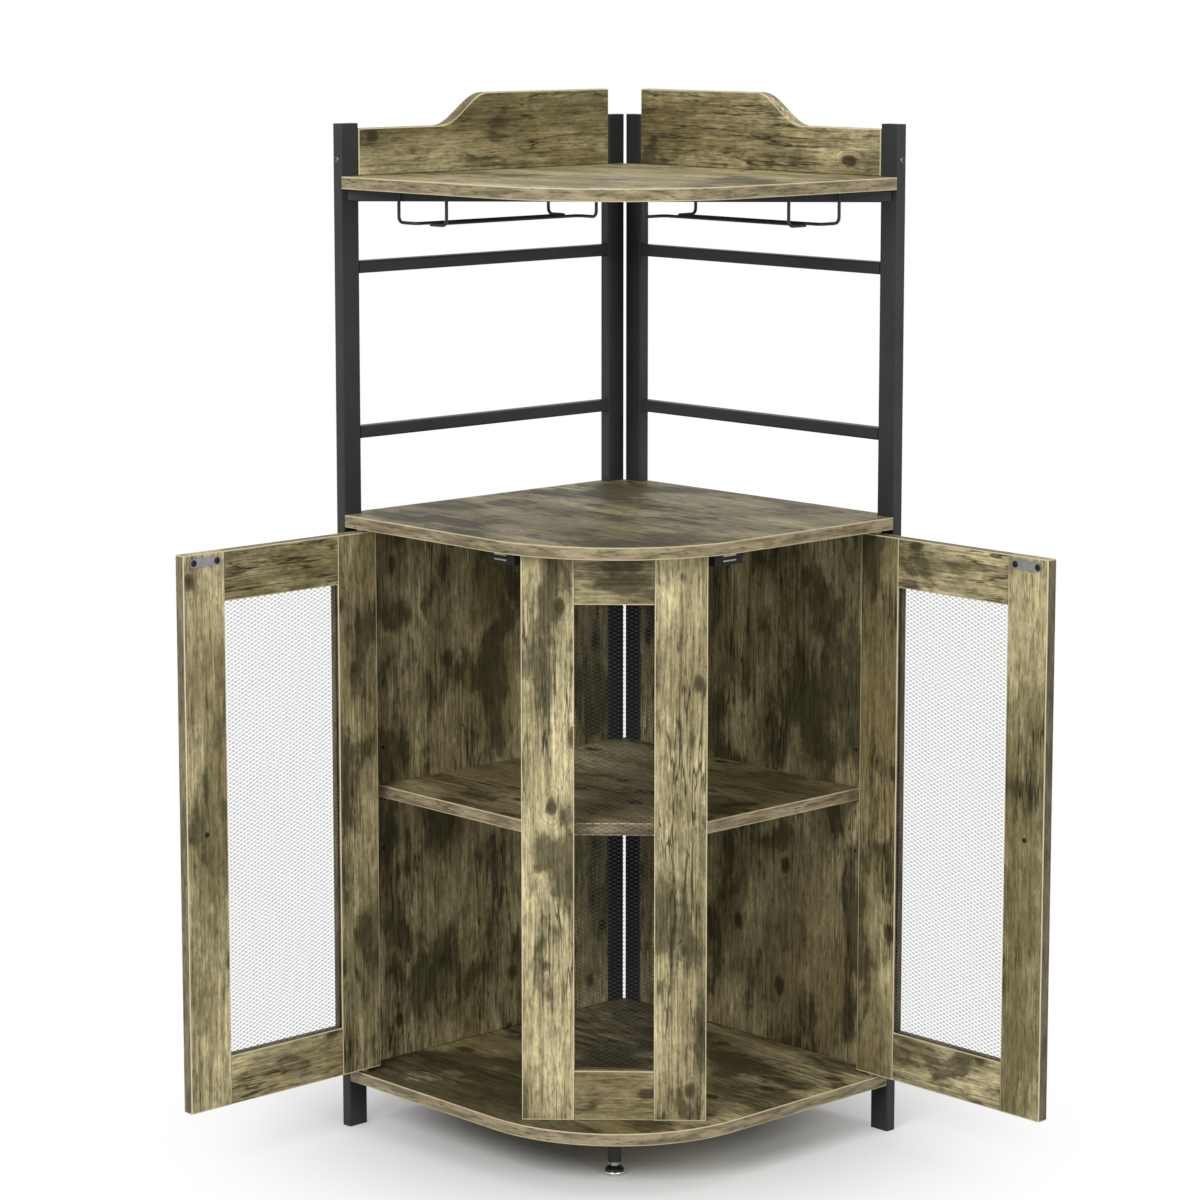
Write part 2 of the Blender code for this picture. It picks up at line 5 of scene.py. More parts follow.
import bmesh
import bpy
from mathutils import Matrix, Vector


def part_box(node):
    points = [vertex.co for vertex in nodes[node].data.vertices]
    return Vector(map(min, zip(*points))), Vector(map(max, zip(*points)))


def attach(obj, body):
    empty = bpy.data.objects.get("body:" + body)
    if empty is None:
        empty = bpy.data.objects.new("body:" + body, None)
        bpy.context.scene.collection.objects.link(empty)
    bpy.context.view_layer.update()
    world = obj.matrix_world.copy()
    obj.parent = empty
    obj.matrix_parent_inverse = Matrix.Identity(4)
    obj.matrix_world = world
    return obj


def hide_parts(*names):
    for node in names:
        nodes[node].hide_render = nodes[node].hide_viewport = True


bl_info = {
    "name": "Corner bar cabinet",
    "version": (1, 0, 0),
    "blender": (4, 5, 0),
    "location": "3D View > Sidebar > Bar cabinet",
    "description": "Finishes and small pieces of a corner bar cabinet with grille doors",
    "category": "Object",
}

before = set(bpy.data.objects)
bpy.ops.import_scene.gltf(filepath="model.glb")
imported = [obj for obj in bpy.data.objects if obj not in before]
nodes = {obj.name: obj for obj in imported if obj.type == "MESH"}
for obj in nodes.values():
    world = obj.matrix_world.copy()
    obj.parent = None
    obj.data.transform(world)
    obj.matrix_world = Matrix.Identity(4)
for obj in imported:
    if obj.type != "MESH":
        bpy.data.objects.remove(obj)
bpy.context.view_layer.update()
UP = Vector((0.0, 0.0, 1.0))
X_WAY = Vector((1.0, 0.0, 0.0))
Y_WAY = Vector((0.0, 1.0, 0.0))
HALF_ROOT = math.sqrt(0.5)
SIDES = ((-1, "left"), (1, "right"))
# along a side wall towards the front, and across the cabinet away from that wall
WALL_RUN = {side: Vector((side * HALF_ROOT, -HALF_ROOT, 0.0)) for side in (-1, 1)}
WALL_OFF = {side: Vector((-side * HALF_ROOT, -HALF_ROOT, 0.0)) for side in (-1, 1)}
# panels with a grille; the stiles follow the way across, and shade is the lightness of the edge bands, lower
# on the right door as painted shade
Panel = namedtuple("Panel", "name body across through stiles shade")
PANELS = (Panel("left_door", "left_door", WALL_OFF[1], WALL_OFF[-1], ("_hinge_stile", "_free_stile"), 0.66),
          # painted shade: the right door's bands are darker than the left's, because the light falls from the
          # left
          Panel("right_door", "right_door", WALL_OFF[-1], WALL_OFF[1], ("_hinge_stile", "_free_stile"), 0.48),
          Panel("centre", "cabinet", X_WAY, -Y_WAY, ("_left_stile", "_right_stile"), 1.0))
# print of each board: its seed, then how stained, dim and warm it is; the stain on the side panels and the
# base board is partly painted shade of the cabinet's inside
PRINTS = {
    "top_shelf": ((1.3, 0.2, 4.1), -0.006, 0.0, 0.05),
    "counter_top": ((3.7, 1.1, 0.4), 0.022, -0.012, 0.10),
    "base_board": ((6.2, 2.6, 1.9), 0.084, -0.008, 0.03),
    "inner_shelf": ((8.4, 0.7, 3.3), 0.018, 0.022, 0.08),
    "left_side_panel": ((1.2, 5.1, 6.7), 0.024, -0.014, 0.03),
    "right_side_panel": ((3.2, 5.1, 8.7), 0.024, -0.014, 0.03),
    "left_guard": ((3.4, 3.1, 10.2), -0.012, 0.0, 0.07),
    "right_guard": ((5.4, 3.1, 8.2), -0.012, 0.0, 0.07),
    "centre_left_stile": ((4.5, 8.1, 1.7), 0.007, -0.050, 0.01),
    "centre_right_stile": ((6.5, 8.1, 3.7), 0.047, -0.050, 0.09),
    "centre_top_rail": ((2.9, 6.3, 8.8), 0.0, 0.0, 0.03),
    "centre_bottom_rail": ((5.9, 6.3, 6.8), 0.0, 0.0, 0.03),
    "left_door_free_stile": ((6.1, 1.7, 7.6), -0.054, -0.032, -0.04),
    "left_door_hinge_stile": ((8.1, 1.7, 10.6), 0.014, 0.014, 0.10),
    "left_door_top_rail": ((10.3, 4.1, 2.4), 0.0, -0.034, 0.03),
    "left_door_bottom_rail": ((12.3, 4.1, 5.4), 0.0, -0.034, 0.03),
    "right_door_free_stile": ((8.1, 1.7, 5.6), -0.054, 0.008, -0.04),
    "right_door_hinge_stile": ((10.1, 1.7, 8.6), 0.014, 0.014, 0.10),
    "right_door_top_rail": ((8.3, 4.1, 4.4), 0.0, -0.034, 0.03),
    "right_door_bottom_rail": ((10.3, 4.1, 7.4), 0.0, -0.034, 0.03),
}
# cells to a metre across and along the grain, some of which hold a knot
KNOT_CELLS = (12.0, 8.0)
# half width of the painted shade line along a groove, from full dark to none
GROOVE_SHADE_HALF_WIDTH = (0.0012, 0.0020)
WHITE = (1.0, 1.0, 1.0, 1.0)
# the pale floor: its tone, half its side, how far it lies below the feet, and where it turns plain white
FLOOR_TONE = (0.93, 0.93, 0.93)
FLOOR_HALF = 14.0
FLOOR_DROP = 0.0004
FLOOR_FADE = (0.16, 0.60)
# the lamps: name, place, aim, width in metres, power in watts
LAMPS = (("key_lamp", (-1.8, -3.6, 2.9), (0.0, 0.0, 0.62), 2.2, 122.0),
         ("fill_lamp", (2.6, -3.2, 2.3), (0.0, 0.0, 0.62), 2.2, 54.0),
         ("top_lamp", (0.2, 0.3, 3.6), (0.0, -0.05, 0.6), 2.0, 30.0))
# the nets: how far they reach into the grooves, and half depth and lean of a strand as shares
NET_TUCK = 0.004
NET_DEEP = 0.4
NET_LEAN = 0.35
# a screw head: shares of its radius and height from the rim to the crown, and its number of sides
HEAD_PROFILE = ((0.97, 0.0), (1.0, 0.18), (0.93, 0.55), (0.78, 0.84))
HEAD_SIDES = 32
# recess arms of a cross and corners of a hex recess
CROSS = 4
HEX = 6
# screw heads: height, kind of recess, and the recess's reach and depth
PLATE_HEAD = (0.0011, CROSS, 0.0021, 0.0007)
KNOB_HEAD = (0.0012, CROSS, 0.0016, 0.0008)
BOLT_HEAD = (0.0014, HEX, 0.0019, 0.0011)
# the pole strips of a catch: heights off its middle, half height, how deep they sit, how far they stand out
STRIP_LEVELS = (-0.0030, 0.0030)
STRIP_HALF = 0.0008
STRIP_DEEP = 0.0030
STRIP_PROUD = 0.0006
STRIP_CUT = 0.0004
# what a catch leaves free at each end of its strips, so that they clear the strike plate's screws
STRIP_ROOM = 0.0125
# the levelling foot: shares of its radius, and heights, from the axis and back to it
SOLE_PROFILE = ((0.0, 0.0), (0.88, 0.0), (0.96, 0.0006), (1.0, 0.0018), (1.0, 0.0036), (0.97, 0.0048),
                (0.93, 0.0052), (0.0, 0.0052))
DOME_PROFILE = ((0.0, 0.0053), (0.94, 0.0053), (0.93, 0.0062), (0.86, 0.0078), (0.72, 0.0094),
                (0.56, 0.0104), (0.50, 0.0109), (0.0, 0.0109))
FOOT_SIDES = 48
# the foot's thread: pitch, radius of core and crest, sides, and rings to a turn
THREAD_PITCH = 0.00125
THREAD_CORE = 0.0034
THREAD_CREST = 0.0040
THREAD_SIDES = 24
THREAD_RINGS = 4


def spread(node, axis):
    """Lowest and highest reach of a node along an axis."""
    reach = [vertex.co.dot(axis) for vertex in nodes[node].data.vertices]
    return min(reach), max(reach)


def middle(node, axis):
    """Middle of a node along an axis."""
    return sum(spread(node, axis)) / 2.0


class BarCabinetLook(bpy.types.PropertyGroup):
    """Sizes and colours of the finishes."""

    oak_light: bpy.props.FloatVectorProperty(
        name="Light oak", description="Palest part of the wood", subtype="COLOR",
        default=(0.700, 0.605, 0.345))
    oak_mid: bpy.props.FloatVectorProperty(
        name="Mid oak", description="Usual tone of the wood", subtype="COLOR",
        default=(0.203, 0.171, 0.077))
    oak_brown: bpy.props.FloatVectorProperty(
        name="Brown oak", description="Warmer areas of the wood", subtype="COLOR",
        default=(0.200, 0.146, 0.066))
    oak_dark: bpy.props.FloatVectorProperty(
        name="Dark oak", description="Dark streaks of the wood", subtype="COLOR",
        default=(0.084, 0.069, 0.023))
    oak_stain: bpy.props.FloatVectorProperty(
        name="Stain", description="Burnt patches of the wood", subtype="COLOR",
        default=(0.031, 0.0262, 0.0085))
    band_light: bpy.props.FloatVectorProperty(
        name="Light edge band", description="Paler part of the edge band", subtype="COLOR",
        default=(0.370, 0.305, 0.186))
    band_dark: bpy.props.FloatVectorProperty(
        name="Dark edge band", description="Darker part of the edge band", subtype="COLOR",
        default=(0.180, 0.145, 0.083))
    edge_tan: bpy.props.FloatVectorProperty(
        name="Edge line", description="Cut line of the edge band", subtype="COLOR",
        default=(0.700, 0.605, 0.390))
    coat_black: bpy.props.FloatVectorProperty(
        name="Frame coat", description="Powder coat of the tubes", subtype="COLOR",
        default=(0.0205, 0.0225, 0.0215))
    edge_line: bpy.props.FloatProperty(
        name="Edge line width", description="Width of the pale line along a board's edge", unit="LENGTH",
        default=0.0014)
    net_long: bpy.props.FloatProperty(
        name="Net long way", description="Width of one diamond of the grille", unit="LENGTH",
        default=0.0101)
    net_short: bpy.props.FloatProperty(
        name="Net short way", description="Height of one diamond of the grille", unit="LENGTH",
        default=0.0050)
    net_strand: bpy.props.FloatProperty(
        name="Net strand", description="Width of a strand of the grille halfway between two bonds",
        unit="LENGTH", default=0.00020)
    net_bond: bpy.props.FloatProperty(
        name="Net bond", description="Width of a strand of the grille where it meets the next one",
        unit="LENGTH", default=0.00050)
    plate_screw: bpy.props.FloatProperty(
        name="Plate screw", description="Head radius of the strike plates' screws", unit="LENGTH",
        default=0.0041)
    plate_holes: bpy.props.FloatProperty(
        name="Plate holes", description="Distance between the two screws of a strike plate", unit="LENGTH",
        default=0.034)
    knob_screw: bpy.props.FloatProperty(
        name="Knob screw", description="Head radius of the knobs' screws", unit="LENGTH",
        default=0.0031)
    guard_bolt: bpy.props.FloatProperty(
        name="Guard bolt", description="Head radius of the guard boards' bolts", unit="LENGTH",
        default=0.0036)
    bolt_height: bpy.props.FloatProperty(
        name="Bolt height", description="Height of the guard boards' bolts above the floor", unit="LENGTH",
        default=1.199)


class BarCabinetStage(bpy.types.PropertyGroup):
    """The camera, and the light from all round."""

    eye: bpy.props.FloatVectorProperty(
        name="Camera place", description="Where the camera stands", subtype="TRANSLATION",
        default=(0.106, -4.424, 1.4125))
    turn: bpy.props.FloatVectorProperty(
        name="Camera turn", description="How the camera is turned", subtype="EULER",
        default=(math.radians(81.832), 0.0, math.radians(1.680)))
    lens: bpy.props.FloatProperty(
        name="Lens", description="Focal length in millimetres", unit="CAMERA", default=109.59)
    rise: bpy.props.FloatProperty(name="Lens rise", description="Upright shift of the picture", default=-0.08)
    sky: bpy.props.FloatProperty(
        name="Sky", description="Strength of the light from all round", subtype="FACTOR", default=0.25)


class Tone:
    """One socket of a finish; arithmetic on it adds Math nodes."""

    def __init__(self, tree, socket=None):
        self.tree = tree
        self.socket = socket

    def add(self, kind, settings=None, values=None, out=0):
        """Add a node: its type, its settings, then the values or links of its sockets."""
        made = self.tree.nodes.new(kind)
        for key, value in (settings or {}).items():
            setattr(made, key, value)
        for key, value in (values or {}).items():
            if isinstance(value, Tone):
                self.tree.links.new(value.socket, made.inputs[key])
            else:
                made.inputs[key].default_value = value
        return Tone(self.tree, made.outputs[out])

    def math(self, operation, *others):
        """Add a Math node on this tone and others."""
        values = {0: self}
        for i, other in enumerate(others):
            values[i + 1] = other
        return self.add("ShaderNodeMath", {"operation": operation}, values)

    def __add__(self, other):
        return self.math("ADD", other)

    __radd__ = __add__

    def __sub__(self, other):
        return self.math("SUBTRACT", other)

    def __rsub__(self, other):
        return self.add("ShaderNodeMath", {"operation": "SUBTRACT"}, {0: other, 1: self})

    def __mul__(self, other):
        return self.math("MULTIPLY", other)

    __rmul__ = __mul__

    def __gt__(self, other):
        return self.math("GREATER_THAN", other)

    def least(self, other):
        """The smaller of this tone and another."""
        return self.math("MINIMUM", other)

    def most(self, other):
        """The larger of this tone and another."""
        return self.math("MAXIMUM", other)

    def size(self):
        """The value without its sign."""
        return self.math("ABSOLUTE")

    def rise(self, low, high):
        """A soft step from 0 at low to 1 at high."""
        return self.add("ShaderNodeMapRange", {"interpolation_type": "SMOOTHSTEP"},
                        {0: self, 1: low, 2: high, 3: 0.0, 4: 1.0})

    def along(self, axis):
        """How far a place lies along an axis."""
        return self.add("ShaderNodeVectorMath", {"operation": "DOT_PRODUCT"}, {0: self, 1: tuple(axis)},
                        out=1)

    def stretched(self, scale):
        """A place with each of its axes scaled."""
        return self.add("ShaderNodeVectorMath", {"operation": "MULTIPLY"}, {0: self, 1: scale})

    def lit(self, amount):
        """A colour made lighter or darker by an amount around 1."""
        return self.add("ShaderNodeVectorMath", {"operation": "SCALE"}, {0: self, "Scale": amount})

    def noise(self, scale, detail=3.0, rough=0.55, bend=0.0):
        """Noise with so many waves to a metre along each axis of this place."""
        return self.add("ShaderNodeTexNoise", None,
                        {"Vector": self.stretched(scale), "Scale": 1.0, "Detail": detail, "Roughness": rough,
                         "Distortion": bend})

    def paint(self, under, over):
        """Lay a colour over another where this tone is 1."""
        return self.add("ShaderNodeMix", {"data_type": "RGBA"}, {0: self, 6: under, 7: over}, out=2)


def colour(values, share=1.0):
    """A socket's colour from three values, made lighter or darker by a share."""
    return (values[0] * share, values[1] * share, values[2] * share, 1.0)


def new_finish(name, base, roughness, metallic=0.0, specular=0.5):
    """A plain finish to build on: the material, the place on its surface, and its shader."""
    material = bpy.data.materials.new(name)
    material.use_nodes = True
    shader = material.node_tree.nodes["Principled BSDF"]
    shader.inputs["Base Color"].default_value = colour(base)
    shader.inputs["Roughness"].default_value = roughness
    shader.inputs["Metallic"].default_value = metallic
    shader.inputs["Specular IOR Level"].default_value = specular
    material.diffuse_color = colour(base)
    return material, Tone(material.node_tree).add("ShaderNodeTexCoord", out="Object"), shader


def feed(shader, socket, tone):
    """Link a tone to a socket of a shader."""
    tone.tree.links.new(tone.socket, shader.inputs[socket])


def background_rays(start):
    """1 for the rays that show the background: from the camera, or by way of metal or glass."""
    rays = [start.add("ShaderNodeLightPath", out="Is %s Ray" % kind)
            for kind in ("Camera", "Glossy", "Transmission")]
    return rays[0].most(rays[1]).most(rays[2])


def bump(shader, height, strength, distance):
    """Link a height to the shader's normal through a Bump node."""
    feed(shader, "Normal", height.add("ShaderNodeBump", None,
                                      {"Strength": strength, "Distance": distance, "Height": height}))


def give_finish(node, material):
    """Give a node its one finish."""
    nodes[node].data.materials.clear()
    nodes[node].data.materials.append(material)


def knots(place, grain, across, seed, waver):
    """Knots and the whorls round them, in chosen cells of a flat pattern; waver bends their outlines."""
    flat = place.add("ShaderNodeCombineXYZ", None,
                     {"X": place.along(across) * KNOT_CELLS[0] + seed[0] * 3.0,
                      "Y": place.along(grain) * KNOT_CELLS[1] + seed[2] * 3.0})
    away = place.add("ShaderNodeTexVoronoi", {"voronoi_dimensions": "2D"}, {"Vector": flat, "Scale": 1.0})
    cell = Tone(place.tree, away.socket.node.outputs["Color"])
    chosen = place.add("ShaderNodeSeparateColor", None, {"Color": cell}).rise(0.40, 0.55)
    away = away + waver
    knot = (1.0 - away.rise(0.045, 0.120)) * chosen
    whorl = 1.0 - ((away * 20.0).math("FRACT") - 0.5).size().rise(0.04, 0.34)
    return knot, whorl * (1.0 - away.rise(0.14, 0.30)) * chosen


def band_wood(place, look, along, through, shade, shift):
    """Print of an edge band: clouds and short dashes along it; shift tells one board's band from the next."""
    strip = place.add("ShaderNodeCombineXYZ", None, {"X": along, "Y": through, "Z": shift})
    dashes = strip.noise((75.0, 430.0, 1.0), 3.0, 0.6)
    clouds = strip.noise((26.0, 120.0, 1.0), 4.0, 0.6)
    wood = clouds.rise(0.36, 0.64).paint(colour(look.band_dark, shade), colour(look.band_light, shade))
    return (dashes.rise(0.54, 0.66) * 0.66).paint(wood, colour(look.oak_stain))


def oak(board, look, grain, across, edge=None, band=None, band_way=None, reveal=None, shade=1.0):
    """Rustic oak print of a board.

    The functions edge and band give the distance to a cut edge and to the edge band, and the groove function
    gives the painted shade line along the groove in the band; band_way is the way along the band, and shade
    its lightness.
    """
    seed, stain_and_shade_bias, dim, warmth = PRINTS[board]
    material, place, shader = new_finish(board + "_oak", look.oak_mid, 0.5, specular=0.22)
    light, dark, stain_dark = colour(look.oak_light), colour(look.oak_dark), colour(look.oak_stain)
    through = grain.cross(across)
    turn = Matrix((across, through, grain)).to_euler()
    local = place.add("ShaderNodeMapping", None, {"Vector": place, "Rotation": turn, "Location": seed})

    # areas, from a hand's breadth down to a finger's
    veil = local.noise((7.0, 7.0, 4.5), 3.0, 0.5)
    blot = local.noise((9.0, 9.0, 5.6), 3.0, 0.5, 0.4)
    hue = local.noise((10.0, 10.0, 3.0), 3.0, 0.5, 0.3)
    broad = local.noise((13.0, 13.0, 3.6), 3.0, 0.55, 0.2)
    where = local.noise((13.0, 13.0, 5.0), 1.0)
    patch = local.noise((20.0, 20.0, 11.0), 5.0, 0.55, 0.35)
    drip = local.noise((56.0, 56.0, 22.0), 3.0, 0.55, 0.2)
    mottle = local.noise((110.0, 110.0, 42.0), 4.0, 0.62, 0.3)
    # lines along the grain, from broad to fine
    bands = local.noise((15.0, 15.0, 0.9), 2.0, 0.5, 0.1)
    cracked = local.noise((54.0, 54.0, 3.6), 4.0, 0.55, 0.15)
    streak = local.noise((95.0, 95.0, 6.0), 3.0, 0.6)
    lines = local.noise((230.0, 230.0, 7.0), 3.0, 0.62, 0.05)
    hairs = local.noise((430.0, 430.0, 10.0), 3.0, 0.62, 0.05)
    # short marks
    crumbs = local.noise((230.0, 230.0, 90.0), 4.0, 0.68, 0.2)
    flame = local.noise((300.0, 300.0, 46.0), 3.0, 0.60, 0.15)
    pores = local.noise((520.0, 520.0, 58.0), 2.0, 0.5)
    fine = local.noise((900.0, 900.0, 70.0), 2.0, 0.6)

    waver = (mottle - 0.5) * 0.10 + (patch - 0.5) * 0.22 + (streak - 0.5) * 0.08
    knot, whorl = knots(place, grain, across, seed, waver)
    rings = 1.0 - ((bands * 17.0).math("FRACT") - 0.5).size().rise(0.03, 0.30)
    rings = rings * where.rise(0.40, 0.56)
    crack = 1.0 - (cracked - 0.5).size().rise(0.003, 0.018)
    crack = crack * where.rise(0.48, 0.56)
    grey = patch * 0.55 + blot * 0.45 + (mottle - 0.5) * 0.16 + (streak - 0.5) * 0.14 + (lines - 0.5) * 0.10
    # real stain of the print, and partly painted shade: the larger stain on the side panels and base stands
    # for the shade inside the cabinet
    stain_and_shade = grey.rise(0.450 - stain_and_shade_bias, 0.625 - stain_and_shade_bias) * 0.58 + grey.rise(0.530 - stain_and_shade_bias, 0.590 - stain_and_shade_bias) * 0.42
    spots = drip.rise(0.570 - dim * 0.4, 0.700 - dim * 0.4) * where.rise(0.42, 0.60)
    warm = broad * 0.42 + mottle * 0.20 + streak * 0.16 + lines * 0.14 + flame * 0.08
    shadow = (veil + (mottle - 0.5) * 0.5).rise(0.62 - dim * 3.0, 0.86 - dim * 3.0)

    tint = warm.rise(0.405 + dim, 0.615 + dim).paint(colour(look.oak_mid), light)
    tint = shadow.paint(tint, dark)
    tint = (hue.rise(0.50 - warmth, 0.68 - warmth) * 0.55).paint(tint, colour(look.oak_brown))
    tint = (streak.rise(0.50, 0.70) * 0.44).paint(tint, dark)
    tint = (lines.rise(0.48, 0.68) * 0.50).paint(tint, dark)
    tint = ((rings * 0.34).most(whorl * 0.26)).paint(tint, dark)
    tint = (flame.rise(0.52, 0.68) * 0.44).paint(tint, dark)
    tint = (fine.rise(0.50, 0.70) * 0.30).paint(tint, dark)
    tint = (pores.rise(0.58, 0.66) * 0.44).paint(tint, stain_dark)
    tint = (stain_and_shade * (0.50 + mottle * 0.62)).paint(tint, stain_dark)
    tint = ((spots * 0.55).most(knot * 0.88)).paint(tint, stain_dark)
    tint = (crack * 0.85).paint(tint, colour(look.oak_stain, 0.5))
    grit = (0.5 - flame) * 0.5 + (crumbs - 0.5) * 1.2 + (mottle - 0.5) * 0.5
    grit = grit + (hairs - 0.5) * (0.5 + where * 2.4)
    tint = tint.lit((1.0 + grit).most(0.25))
    rough = 0.44 + fine * 0.12 + stain_and_shade * 0.08
    height = 0.5 + flame * -0.25 + fine * -0.35 + crack * -1.2 + rings * -0.2 + knot * -0.5

    if band is not None:
        on_band = 1.0 - band(place).rise(0.0001, 0.0004)
        along = place.along(band_way or grain) + seed[0]
        tint = on_band.paint(tint, band_wood(place, look, along, place.along(through), shade, seed[2]))
        # painted shade: a near-black line where the groove that holds the net runs through the edge band
        if reveal is not None:
            tint = (on_band * reveal(place)).paint(tint, colour(look.oak_stain, 0.2))
    if edge is not None:
        line = 1.0 - edge(place).rise(look.edge_line * 0.70, look.edge_line)
        tint = (line * (0.58 + fine * 0.44)).paint(tint, colour(look.edge_tan))
        rough = rough + line * 0.06
    feed(shader, "Base Color", tint)
    feed(shader, "Roughness", rough)
    bump(shader, height, 0.22, 0.0005)
    return material


def inside(place, axis, reach):
    """How far a place lies inside the nearer of two limits along an axis."""
    low, high = reach
    return (high - low) / 2.0 - (place.along(axis) - (high + low) / 2.0).size()


def box_edges(node, grain, across, window, groove, ends=True):
    """Pale line, edge band and painted shade line along the groove of a straight board; window is the side
    the groove lies on.
    """
    through = grain.cross(across)
    ranges = [spread(node, axis) for axis in (across, through, grain)]
    groove_way, groove_at = groove
    centre = sum(ranges[0]) / 2.0

    def edge(place):
        first, second, third = [inside(place, axis, reach)
                                for axis, reach in zip((across, through, grain), ranges)]
        if not ends:
            return first.most(second)
        return first.least(second).most(first.most(second).least(third))

    def band(place):
        return inside(place, across, ranges[0])

    # painted shade in the groove: 1 on a thin line along it, on the window side of the board
    def reveal(place):
        beside = (place.along(groove_way) - groove_at).size()
        return ((place.along(across) - centre) * window > 0.0) * (1.0 - beside.rise(*GROOVE_SHADE_HALF_WIDTH))

    return {"edge": edge, "band": band, "reveal": reveal}


def level_edges(node, outline):
    """The pale line and the band of a level board from its outline distance."""
    level = spread(node, UP)

    def edge(place):
        return outline(place).most(inside(place, UP, level))

    return {"edge": edge, "band": outline, "band_way": X_WAY}


def shelf_edges(node):
    """Edge distance of the curved boards: near the front outline and the top or bottom face."""
    corner = max(vertex.co.y + abs(vertex.co.x) for vertex in nodes[node].data.vertices)
    # wall square of side run, measured from the room corner, with a rounded front corner
    back = Vector((0.0, corner, 0.0))
    run = spread(node, WALL_RUN[-1])[1] - back.dot(WALL_RUN[-1])
    reach = corner - spread(node, Y_WAY)[0]
    radius = (run * math.sqrt(2.0) - reach) / (math.sqrt(2.0) - 1.0)
    straight = run - radius

    def outline(place):
        one = place.along(WALL_RUN[-1]) - (back.dot(WALL_RUN[-1]) + straight)
        two = place.along(WALL_RUN[1]) - (back.dot(WALL_RUN[1]) + straight)
        one_out = one.most(0.0)
        two_out = two.most(0.0)
        round_part = (one_out * one_out + two_out * two_out).math("SQRT")
        return radius - round_part - one.most(two).least(0.0)

    return level_edges(node, outline)


def wedge_edges(node):
    """Edge distance of the inner shelf: near its three front edges and the top or bottom face."""
    fronts = [WALL_RUN[-1], WALL_RUN[1], -Y_WAY]
    limits = [spread(node, axis)[1] for axis in fronts]

    def outline(place):
        gaps = [limit - place.along(axis) for axis, limit in zip(fronts, limits)]
        return gaps[0].least(gaps[1]).least(gaps[2])

    return level_edges(node, outline)


def guard_edges(node, side):
    """Edge distance of a guard board: near its stepped top or its front end, and one of its faces."""
    tall = spread(node, UP)[1]
    run_high = spread(node, WALL_RUN[side])[1]
    faces = spread(node, WALL_OFF[side])
    points = [vertex.co for vertex in nodes[node].data.vertices]
    margin = 0.001
    low_top = max(point.z for point in points if point.dot(WALL_RUN[side]) > run_high - 2.0 * margin)
    steps = [point.dot(WALL_RUN[side]) for point in points if low_top + margin < point.z < tall - margin]
    # the step's curve ends a little past the points between its two heights
    past = 0.006
    step_back, step_front = min(steps) - past, max(steps) + past

    def edge(place):
        run = place.along(WALL_RUN[side])
        part = 1.0 - run.rise(step_back, step_front)
        top = low_top + part * (tall - low_top) - place.along(UP)
        end = run_high - run
        return top.size().least(end).most(inside(place, WALL_OFF[side], faces))

    return {"edge": edge}


def black_coat(name, look, roughness=0.46, lift=1.0):
    """Fine-textured black powder coat."""
    base = colour(look.coat_black, lift)
    material, place, shader = new_finish(name, base, roughness, specular=0.34)
    peel = place.noise((900.0, 900.0, 900.0), 2.0, 0.6)
    cloud = place.noise((14.0, 14.0, 14.0), 3.0, 0.6)
    rub = place.noise((60.0, 60.0, 60.0), 4.0, 0.7)
    tint = cloud.rise(0.3, 0.7).paint(colour(base, 0.85), colour(base, 1.18))
    tint = (rub.rise(0.60, 0.75) * 0.30).paint(tint, colour(base, 1.9))
    feed(shader, "Base Color", tint)
    feed(shader, "Roughness", roughness - 0.06 + peel * 0.12)
    bump(shader, peel, 0.12, 0.0003)
    return material


def plain_steel(name, base, roughness, brush):
    """Bare steel with short brush marks along one axis."""
    material, place, shader = new_finish(name, base, roughness, 1.0)
    marks = place.noise(brush, 3.0, 0.6)
    dull = place.noise((120.0, 120.0, 120.0), 3.0, 0.6)
    feed(shader, "Base Color", dull.rise(0.35, 0.70).paint(colour(base, 0.80), colour(base)))
    feed(shader, "Roughness", roughness - 0.05 + marks * 0.16)
    bump(shader, marks, 0.10, 0.0002)
    return material


def dark_plastic(name):
    """Moulded dark plastic with a fine grain."""
    base = (0.014, 0.013, 0.012)
    material, place, shader = new_finish(name, base, 0.5, specular=0.25)
    grain = place.noise((1500.0, 1500.0, 1500.0), 2.0, 0.5)
    cloud = place.noise((60.0, 60.0, 60.0), 3.0)
    feed(shader, "Base Color", cloud.rise(0.3, 0.7).paint(colour(base, 0.8), colour(base, 1.3)))
    feed(shader, "Roughness", 0.42 + grain * 0.16)
    bump(shader, grain, 0.15, 0.0002)
    return material


def new_piece(name, shape, body, material, smooth=False):
    """Link a mesh, from a bmesh or from points and faces, as a piece that rides on a body."""
    data = bpy.data.meshes.new(name)
    if isinstance(shape, tuple):
        data.from_pydata(shape[0], [], shape[1])
    else:
        bmesh.ops.recalc_face_normals(shape, faces=shape.faces)
        shape.to_mesh(data)
        shape.free()
    data.materials.append(material)
    for face in data.polygons:
        face.use_smooth = smooth
    piece = bpy.data.objects.new(name, data)
    bpy.context.scene.collection.objects.link(piece)
    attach(piece, body)
    return piece


def frame_of(centre, normal):
    """A place function around a point of an upright face: two flat directions and the normal."""
    side_way = UP.cross(normal).normalized()
    up_way = normal.cross(side_way)

    def place(p, q, s):
        return centre + side_way * p + up_way * q + normal * s

    return place


